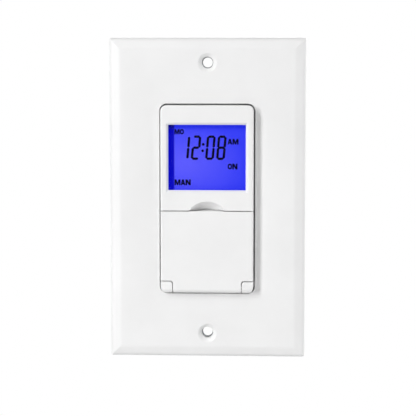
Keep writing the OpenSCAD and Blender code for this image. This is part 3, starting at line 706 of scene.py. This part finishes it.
def upper_block_loop(depth):
    """Outline of the face above the door; its lower edge follows the door's lip."""
    inset = edge_inset(depth, FACE_EDGE_R)
    low = edge_inset(depth, DOOR_EDGE_R)
    side = FACE_W / 2 - inset
    top = FACE_H / 2 - inset
    radius = FACE_R - inset
    steps = 48
    points = []
    for i in range(steps + 1):
        x = side * (2 * i / steps - 1)
        points.append((x, DOOR_TOP + DOOR_GAP + lip_rise(x) + low))
    points += arc(side - radius, top - radius, radius, 0, 90, 6)
    points += arc(radius - side, top - radius, radius, 90, 180, 6)
    return at_depth(points, Y_FACE + depth)


def upper_block():
    """Face above the door, drawn at depths that follow its rounded edges."""
    depths = (0, 0.02, 0.05, 0.1, DOOR_EDGE_R, 0.3, 0.45, FACE_EDGE_R, Y_PANEL - Y_FACE + PAST)
    return loft("face", [upper_block_loop(depth) for depth in depths])


def window_cutter():
    """Window with a chamfer whose front edge is softened; each step is a growth and a depth."""
    soft = WINDOW_SOFT
    wide = WINDOW_CHAMFER + 2 * soft
    steps = [(wide, Y_FACE - PAST), (wide, Y_FACE - SKIM)]
    steps += [(WINDOW_CHAMFER + 0.4 * soft, Y_FACE + 0.2 * soft), (WINDOW_CHAMFER - soft, Y_FACE + soft)]
    steps += [(0, Y_FACE + WINDOW_CHAMFER), (0, Y_LENS + PAST)]
    loops = []
    for grow, y in steps:
        radius = WINDOW_R + WINDOW_R_GROWTH * grow
        outline = rounded_rect(WINDOW_W + 2 * grow, WINDOW_H + 2 * grow, radius, 4)
        loops.append(at_depth(outline, y, 0, WINDOW_Z))
    return loft("window", loops)


def scoop_cutter():
    """Ball whose trace on the face is an arc of the scoop's width and height."""
    bottom = DOOR_TOP + DOOR_GAP
    trace = arch_radius(SCOOP_W, SCOOP_H)
    drop = trace - SCOOP_H
    off = (trace ** 2 - drop ** 2 - SCOOP_DEPTH ** 2) / (2 * SCOOP_DEPTH)
    radius = math.hypot(trace, off)
    first_angle = 100
    last_angle = 1
    loops = []
    for turned in even_steps(first_angle - last_angle, 48):
        a = math.radians(first_angle - turned)
        ring = round_hole(2 * radius * math.sin(a), 144)
        loops.append(at_depth(ring, Y_FACE - off + radius * math.cos(a), 0, bottom + SCOOP_H - trace))
    return loft("scoop", loops)


def key_panel():
    panel_w = FACE_W - 2 * PANEL_INSET
    panel_h = FACE_H - 2 * PANEL_INSET
    return loft("panel", face_loops(panel_w, panel_h, FACE_R, DOOR_EDGE_R, Y_PANEL, SINK))


def face_flange():
    return prisms("flange", [(rounded_rect(FLANGE_W, FLANGE_H, FLANGE_R), 0, FLANGE_T, 0, 0)])


def face_rooms():
    """Hollows behind the display and behind the keys."""
    inner_x = FACE_W / 2 - FACE_WALL
    inner_z = FACE_H / 2 - FACE_WALL
    rooms = []
    for front, low, high in ((Y_LENS, SHELF_TOP, inner_z), (Y_PANEL_BACK, -inner_z, KEY_ROOM_TOP)):
        outline, x, z = block(-inner_x, inner_x, low, high)
        rooms.append((outline, front, FLANGE_T + PAST, x, z))
    return prisms("rooms", rooms)


def key_holes():
    hole = rounded_rect(KEY_W + 2 * KEY_GAP, KEY_H + 2 * KEY_GAP, KEY_R + KEY_GAP)
    wide = rounded_rect(MANUAL_KEY_W + 2 * KEY_GAP, KEY_H + 2 * KEY_GAP, KEY_R + KEY_GAP)
    y0 = Y_PANEL - PAST
    y1 = Y_PANEL_BACK + PAST
    entries = [(hole, y0, y1, x, z) for x in KEY_COLUMNS for z in KEY_ROWS]
    entries.append((wide, y0, y1, 0, MANUAL_Z))
    entries.append((round_hole(RESET_D, 32), y0, y1, RESET_X, MANUAL_Z))
    return prisms("key_holes", entries)


def screw_posts():
    posts = []
    for s in (-1, 1):
        for z, front in ((POST_Z, Y_LENS), (-POST_Z, Y_PANEL_BACK)):
            posts.append((round_hole(POST_D, 32), front - SINK, FLANGE_T, s * POST_X, z))
    return prisms("posts", posts)


def screw_bores():
    """Blind bores of the posts and through holes of the flange."""
    back = FLANGE_T + PAST
    bores = []
    for s in (-1, 1):
        for z in (POST_Z, -POST_Z):
            bores.append((round_hole(POST_BORE_D, 24), POST_BORE_FRONT, back, s * POST_X, z))
        for z in (-FLANGE_HOLE_Z, FLANGE_HOLE_Z):
            bores.append((round_hole(FLANGE_HOLE_D, 32), -PAST, back, s * FLANGE_HOLE_X, z))
    return prisms("bores", bores)


def lug_outlines(name, gap):
    """Front view of both fixed knuckles, grown by a gap."""
    outline = rounded_rect(2 * LUG_W, 2 * LUG_H, LUG_R, 10)
    x = FACE_W / 2 - gap
    z = -FACE_H / 2 + gap
    return prisms(name, [(outline, Y_FACE - PAST, Y_PANEL + PAST, s * x, z) for s in (-1, 1)])


def lug_profile():
    """Side view of a fixed knuckle: rounded bottom, flat front and rounded upper edge."""
    top = -FACE_H / 2 + LUG_H
    back = Y_PANEL + LUG_SINK
    profile = arc(Y_HINGE, Z_HINGE, KNUCKLE_R, 270, 180, 12)
    profile += arc(Y_FACE + LUG_EDGE_R, top - LUG_EDGE_R, LUG_EDGE_R, 180, 90, 10)
    return profile + [(back, top), (back, -FACE_H / 2)]


def build_lugs():
    lugs = loft("lugs", face_loops(FACE_W, FACE_H, FACE_R, FACE_EDGE_R, Y_FACE, Y_PANEL + PAST))
    inner = FACE_W / 2 - LUG_W - PAST
    outer = FACE_W / 2 + PAST
    combine(lugs, "INTERSECT", bars_x("lug_sides", lug_profile(), ((-outer, -inner), (inner, outer))))
    combine(lugs, "INTERSECT", lug_outlines("lug_fronts", 0))
    return lugs


def rod_bore(x0, x1):
    return bars_x("bore", circle(Y_HINGE, Z_HINGE, ROD_BORE_D / 2, 24), ((x0, x1),))


def build_face():
    face = upper_block()
    combine(face, "DIFFERENCE", window_cutter())
    combine(face, "DIFFERENCE", scoop_cutter())
    combine(face, "UNION", key_panel())
    combine(face, "UNION", face_flange())
    combine(face, "DIFFERENCE", face_rooms())
    combine(face, "DIFFERENCE", key_holes())
    combine(face, "UNION", screw_posts())
    combine(face, "UNION", build_lugs())
    combine(face, "DIFFERENCE", screw_bores())
    combine(face, "DIFFERENCE", rod_bore(-FACE_W / 2 + ROD_END_WALL, FACE_W / 2 + PAST))
    finish_piece(face, "front_bezel", "body", "face_white")


# Door


def door_profile(x):
    """Side view of the door at x: rounded top edge, flat front, hinge barrel and flat back."""
    side = max(0, abs(x) - FACE_W / 2 + FACE_EDGE_R)
    front = Y_FACE + FACE_EDGE_R - math.sqrt(FACE_EDGE_R ** 2 - side ** 2)
    top = DOOR_TOP + lip_rise(x)
    back_angle = math.degrees(math.acos((Y_SKIRT - Y_HINGE) / KNUCKLE_R))
    profile = [(Y_SKIRT, top)]
    profile += arc(Y_FACE + DOOR_EDGE_R, top - DOOR_EDGE_R, DOOR_EDGE_R, 90, 180, 4)
    profile += arc(Y_HINGE, Z_HINGE, KNUCKLE_R, 180, 360 + back_angle, 36)
    return [(x, max(y, front), z) for y, z in profile]


def door_places():
    """Places across the door at which its side view is drawn: lip, notches and rounded sides."""
    arch = even_steps(LIP_W / 2, 20)
    beside_notch = FACE_W / 2 - LUG_W - DOOR_GAP - NOTCH_MARGIN
    edge = [FACE_W / 2 - inset for inset, depth in rounding(FACE_EDGE_R, 6)]
    return sorted({s * x for s in (-1, 1) for x in (*arch, beside_notch, *edge)})


def door_pan():
    """Hollow behind the door's front, inside its skirt."""
    low = -FACE_H / 2 + LUG_H + DOOR_GAP + SKIRT_T
    high = DOOR_TOP - SKIRT_T
    outline = rounded_rect(FACE_W - 2 * SKIRT_T, high - low, PAN_R)
    return prisms("pan", [(outline, Y_FACE + DOOR_T, Y_SKIRT + PAST, 0, (low + high) / 2)])


def door_pusher():
    """Block behind the door that presses the manual key."""
    outline = rounded_rect(PUSHER_W, PUSHER_H, KEY_R)
    return prisms("pusher", [(outline, Y_FACE + DOOR_T - SINK, Y_PUSHER, 0, MANUAL_Z)])


def build_door():
    door = loft("door_leaf", [door_profile(x) for x in door_places()])
    combine(door, "DIFFERENCE", lug_outlines("notches", DOOR_GAP))
    combine(door, "DIFFERENCE", door_pan())
    combine(door, "DIFFERENCE", rod_bore(-FACE_W, FACE_W))
    combine(door, "UNION", door_pusher())
    finish_piece(door, "door", "door", "door_white")


# Keys


def build_key(name, width, x, z):
    """Key cap with soft edges, a shallow dish in its front and a brim behind the panel."""
    steps = [(inset, Y_KEY + share * KEY_DISH) for inset, share in KEY_DISH_STEPS]
    steps += [(inset, Y_KEY + depth) for inset, depth in rounding(KEY_EDGE_R, 5)]
    steps += [(0, Y_KEY_BRIM), (-KEY_BRIM, Y_KEY_BRIM), (-KEY_BRIM, Y_KEY_BACK)]
    loops = []
    for inset, y in steps:
        radius = max(MIN_CORNER_R, KEY_R - inset)
        outline = rounded_rect(width - 2 * inset, KEY_H - 2 * inset, radius)
        loops.append(at_depth(outline, y, x, z))
    finish_piece(loft(name + "_cap", loops), name, name, "key_white")


def build_keys():
    for names, z in zip(KEY_NAMES, KEY_ROWS):
        for name, x in zip(names, KEY_COLUMNS):
            build_key(name + "_key", KEY_W, x, z)
    build_key("manual_key", MANUAL_KEY_W, 0, MANUAL_Z)


# Print on the display: digits with their left ends, dots of the colon, and words

SEGMENT_T = 0.05
SEGMENT_POINT = 0.3
SEGMENTS = {"0": "abcdef", "1": "bc", "2": "abged", "8": "abcdefg"}
STROKE = 0.82
STROKE_GAP = 0.05
DIGIT_H = 8.65
DIGIT_W = 3.1
DIGIT_Z = 14.1
DIGIT_SLANT = 0.085
DIGITS = (("1", -9.75), ("2", -5.86), ("0", -0.76), ("8", 3.12))
COLON_D = 0.95
COLON_DOTS = ((-1.38, 19.61), (-1.6, 17.32))
# Outlines of the letters in a box of one by one; the first loop is the outside
LETTERS = {
    "M": [[(0, 0), (0.23, 0), (0.23, 0.58), (0.4, 0), (0.6, 0), (0.77, 0.58), (0.77, 0), (1, 0), (1, 1),
           (0.7, 1), (0.5, 0.44), (0.3, 1), (0, 1)]],
    "N": [[(0, 0), (0.3, 0), (0.3, 0.54), (0.66, 0), (1, 0), (1, 1), (0.7, 1), (0.7, 0.46), (0.34, 1),
           (0, 1)]],
    "A": [[(0, 0), (0.3, 0), (0.36, 0.18), (0.64, 0.18), (0.7, 0), (1, 0), (0.68, 1), (0.32, 1)],
          [(0.43, 0.44), (0.57, 0.44), (0.5, 0.64)]],
    "O": [circle(0.5, 0.5, 0.5, 24), circle(0.5, 0.5, 0.23, 24)],
}
LETTER_WIDTHS = {"M": 1.3, "N": 1.15, "A": 1, "O": 1}
LETTER_GAP = 0.1
# Words: letters, left end, foot, width of the word and height
WORDS = (("MO", -11.6, 23.15, 3.35, 1.85), ("AM", 7.25, 19.6, 3.85, 1.95),
         ("ON", 7.25, 10.75, 3.5, 2.05), ("MAN", -11.6, 5.05, 5.75, 2.05))


def add_print(mesh, loops):
    """Thin plate on the display from outlines in x and z; loops after the first are holes."""
    edges = []
    for loop in loops:
        verts = [mesh.verts.new((x, Y_GLASS, z)) for x, z in loop]
        edges += [mesh.edges.new((verts[i - 1], verts[i])) for i in range(len(verts))]
    filled = bmesh.ops.triangle_fill(mesh, edges=edges, use_beauty=True)
    faces = [item for item in filled["geom"] if isinstance(item, bmesh.types.BMFace)]
    raised = bmesh.ops.extrude_face_region(mesh, geom=faces, use_keep_orig=True)
    tops = [item for item in raised["geom"] if isinstance(item, bmesh.types.BMVert)]
    bmesh.ops.translate(mesh, verts=tops, vec=(0, -SEGMENT_T, 0))


def segment_bar(ends):
    """Six-sided bar with pointed ends between two points."""
    (x0, z0), (x1, z1) = ends
    length = math.hypot(x1 - x0, z1 - z0)
    ux = (x1 - x0) / length
    uz = (z1 - z0) / length
    half = STROKE / 2
    near = SEGMENT_POINT
    far = length - SEGMENT_POINT
    corners = ((0, 0), (near, -half), (far, -half), (length, 0), (far, half), (near, half))
    return [(x0 + ux * along - uz * side, z0 + uz * along + ux * side) for along, side in corners]


def digit_segments(digit, left):
    """Outlines of the lit segments of a slanted digit."""
    half = STROKE / 2
    xs = (half, DIGIT_W - half)
    zs = (half, DIGIT_H / 2, DIGIT_H - half)
    flat = {"a": 2, "g": 1, "d": 0}
    upright = {"f": (0, 1), "b": (1, 1), "e": (0, 0), "c": (1, 0)}
    outlines = []
    for name in SEGMENTS[digit]:
        if name in flat:
            z = zs[flat[name]]
            ends = ((xs[0] + STROKE_GAP, z), (xs[1] - STROKE_GAP, z))
        else:
            column, row = upright[name]
            ends = ((xs[column], zs[row] + STROKE_GAP), (xs[column], zs[row + 1] - STROKE_GAP))
        outlines.append([(left + x + DIGIT_SLANT * z, DIGIT_Z + z) for x, z in segment_bar(ends)])
    return outlines


def add_word(mesh, word, left, foot, width, height):
    """Letters side by side that fill the word's width."""
    shares = sum(LETTER_WIDTHS[letter] for letter in word)
    share = (width - LETTER_GAP * (len(word) - 1)) / shares
    for letter in word:
        letter_w = share * LETTER_WIDTHS[letter]
        loops = LETTERS[letter]
        add_print(mesh, [[(left + letter_w * x, foot + height * z) for x, z in loop] for loop in loops])
        left += letter_w + LETTER_GAP


def build_display():
    mesh = bmesh.new()
    for digit, left in DIGITS:
        for outline in digit_segments(digit, left):
            add_print(mesh, [outline])
    for x, z in COLON_DOTS:
        add_print(mesh, [[(x + p[0], z + p[1]) for p in round_hole(COLON_D, 20)]])
    for word in WORDS:
        add_word(mesh, *word)
    segments = link_mesh("display_segments", mesh)
    finish_piece(segments, None, "body", "plunger_black")
    segments.data.materials[0] = ink("segment_ink", (0.003, 0.003, 0.006))


# Floor, light and camera, in metres and watts

FLOOR_Z = -0.2
FLOOR_R = 0.6
FLOOR_COLOR = (0.82, 0.82, 0.82)
FLOOR_FADE_START = 0.15
FLOOR_FADE_END = 0.4
AMBIENT = 0.02
LAMP_DISTANCE = 1.5


def add_floor():
    disc = bmesh.new()
    bmesh.ops.create_circle(disc, cap_ends=True, segments=96, radius=FLOOR_R)
    data = bpy.data.meshes.new("floor")
    disc.to_mesh(data)
    disc.free()
    data.materials.append(studio_floor("floor_pale", FLOOR_COLOR, FLOOR_FADE_START, FLOOR_FADE_END))
    floor = add_object("floor", data)
    floor.location.z = FLOOR_Z


def direction(azimuth, elevation):
    """Unit vector from the part to a place right of the front and up, both in degrees."""
    a = math.radians(azimuth)
    e = math.radians(elevation)
    return Vector((math.sin(a) * math.cos(e), -math.cos(a) * math.cos(e), math.sin(e)))


def aim(thing, towards):
    """Turns a lamp or camera so that it looks back along a direction."""
    thing.rotation_mode = "QUATERNION"
    thing.rotation_quaternion = towards.to_track_quat("Z", "Y")


def add_lamp(name, size, power):
    light = bpy.data.lights.new(name, "AREA")
    light.shape = "RECTANGLE"
    light.size = size[0]
    light.size_y = size[1]
    light.energy = power
    return add_object(name, light)


def add_softbox(name, azimuth, elevation, size, power, reflected=True):
    """Lamp aimed at the part; one that isn't reflected leaves metal the plain background to show."""
    lamp = add_lamp(name, size, power)
    lamp.location = direction(azimuth, elevation) * LAMP_DISTANCE
    lamp.visible_glossy = reflected
    aim(lamp, direction(azimuth, elevation))


def add_floor_light(name, place, size, power):
    """Lamp that shines straight down, so that the floor throws soft light up at the part."""
    lamp = add_lamp(name, size, power)
    lamp.location = place


def add_world():
    """White where the background is seen, and nearly no light from it on the part."""
    world = bpy.data.worlds.new("studio")
    bpy.context.scene.world = world
    world.use_nodes = True
    nodes = world.node_tree.nodes
    links = world.node_tree.links
    level = map_range(nodes, 0.0, 1.0, AMBIENT, 1.0)
    links.new(background_rays(nodes, links), level.inputs["Value"])
    links.new(level.outputs["Result"], nodes["Background"].inputs["Strength"])
    nodes["Background"].inputs["Color"].default_value = (1, 1, 1, 1)


def add_camera():
    camera = add_object("photo_camera", bpy.data.cameras.new("photo_camera"))
    camera.data.sensor_fit = "HORIZONTAL"
    camera.data.angle = 2 * math.atan(PHOTO_SIZE / 2 / CAMERA_FOCAL_PX)
    camera.data.clip_start = CAMERA_CLIP_START
    towards = direction(CAMERA_YAW, CAMERA_PITCH)
    camera.location = CAMERA_TARGET + towards * CAMERA_DISTANCE
    aim(camera, towards)
    bpy.context.scene.camera = camera


dress_nodes()
build_plate()
build_face()
build_door()
build_keys()
build_display()
add_floor()
add_world()
add_softbox("key", azimuth=-45, elevation=20, size=(0.32, 1.5), power=20.3)
add_softbox("right", azimuth=90, elevation=0, size=(2.6, 2.6), power=39, reflected=False)
add_softbox("top", azimuth=15, elevation=50, size=(1.4, 0.8), power=3.6)
add_softbox("rear", azimuth=170, elevation=18, size=(1.6, 0.8), power=7)
add_softbox("rear_left", azimuth=-120, elevation=10, size=(1.6, 2), power=1.5)
add_floor_light("bounce", place=(0, -0.25, -0.1), size=(0.6, 0.3), power=0.22)
add_camera()
bpy.context.scene.view_settings.view_transform = "Standard"
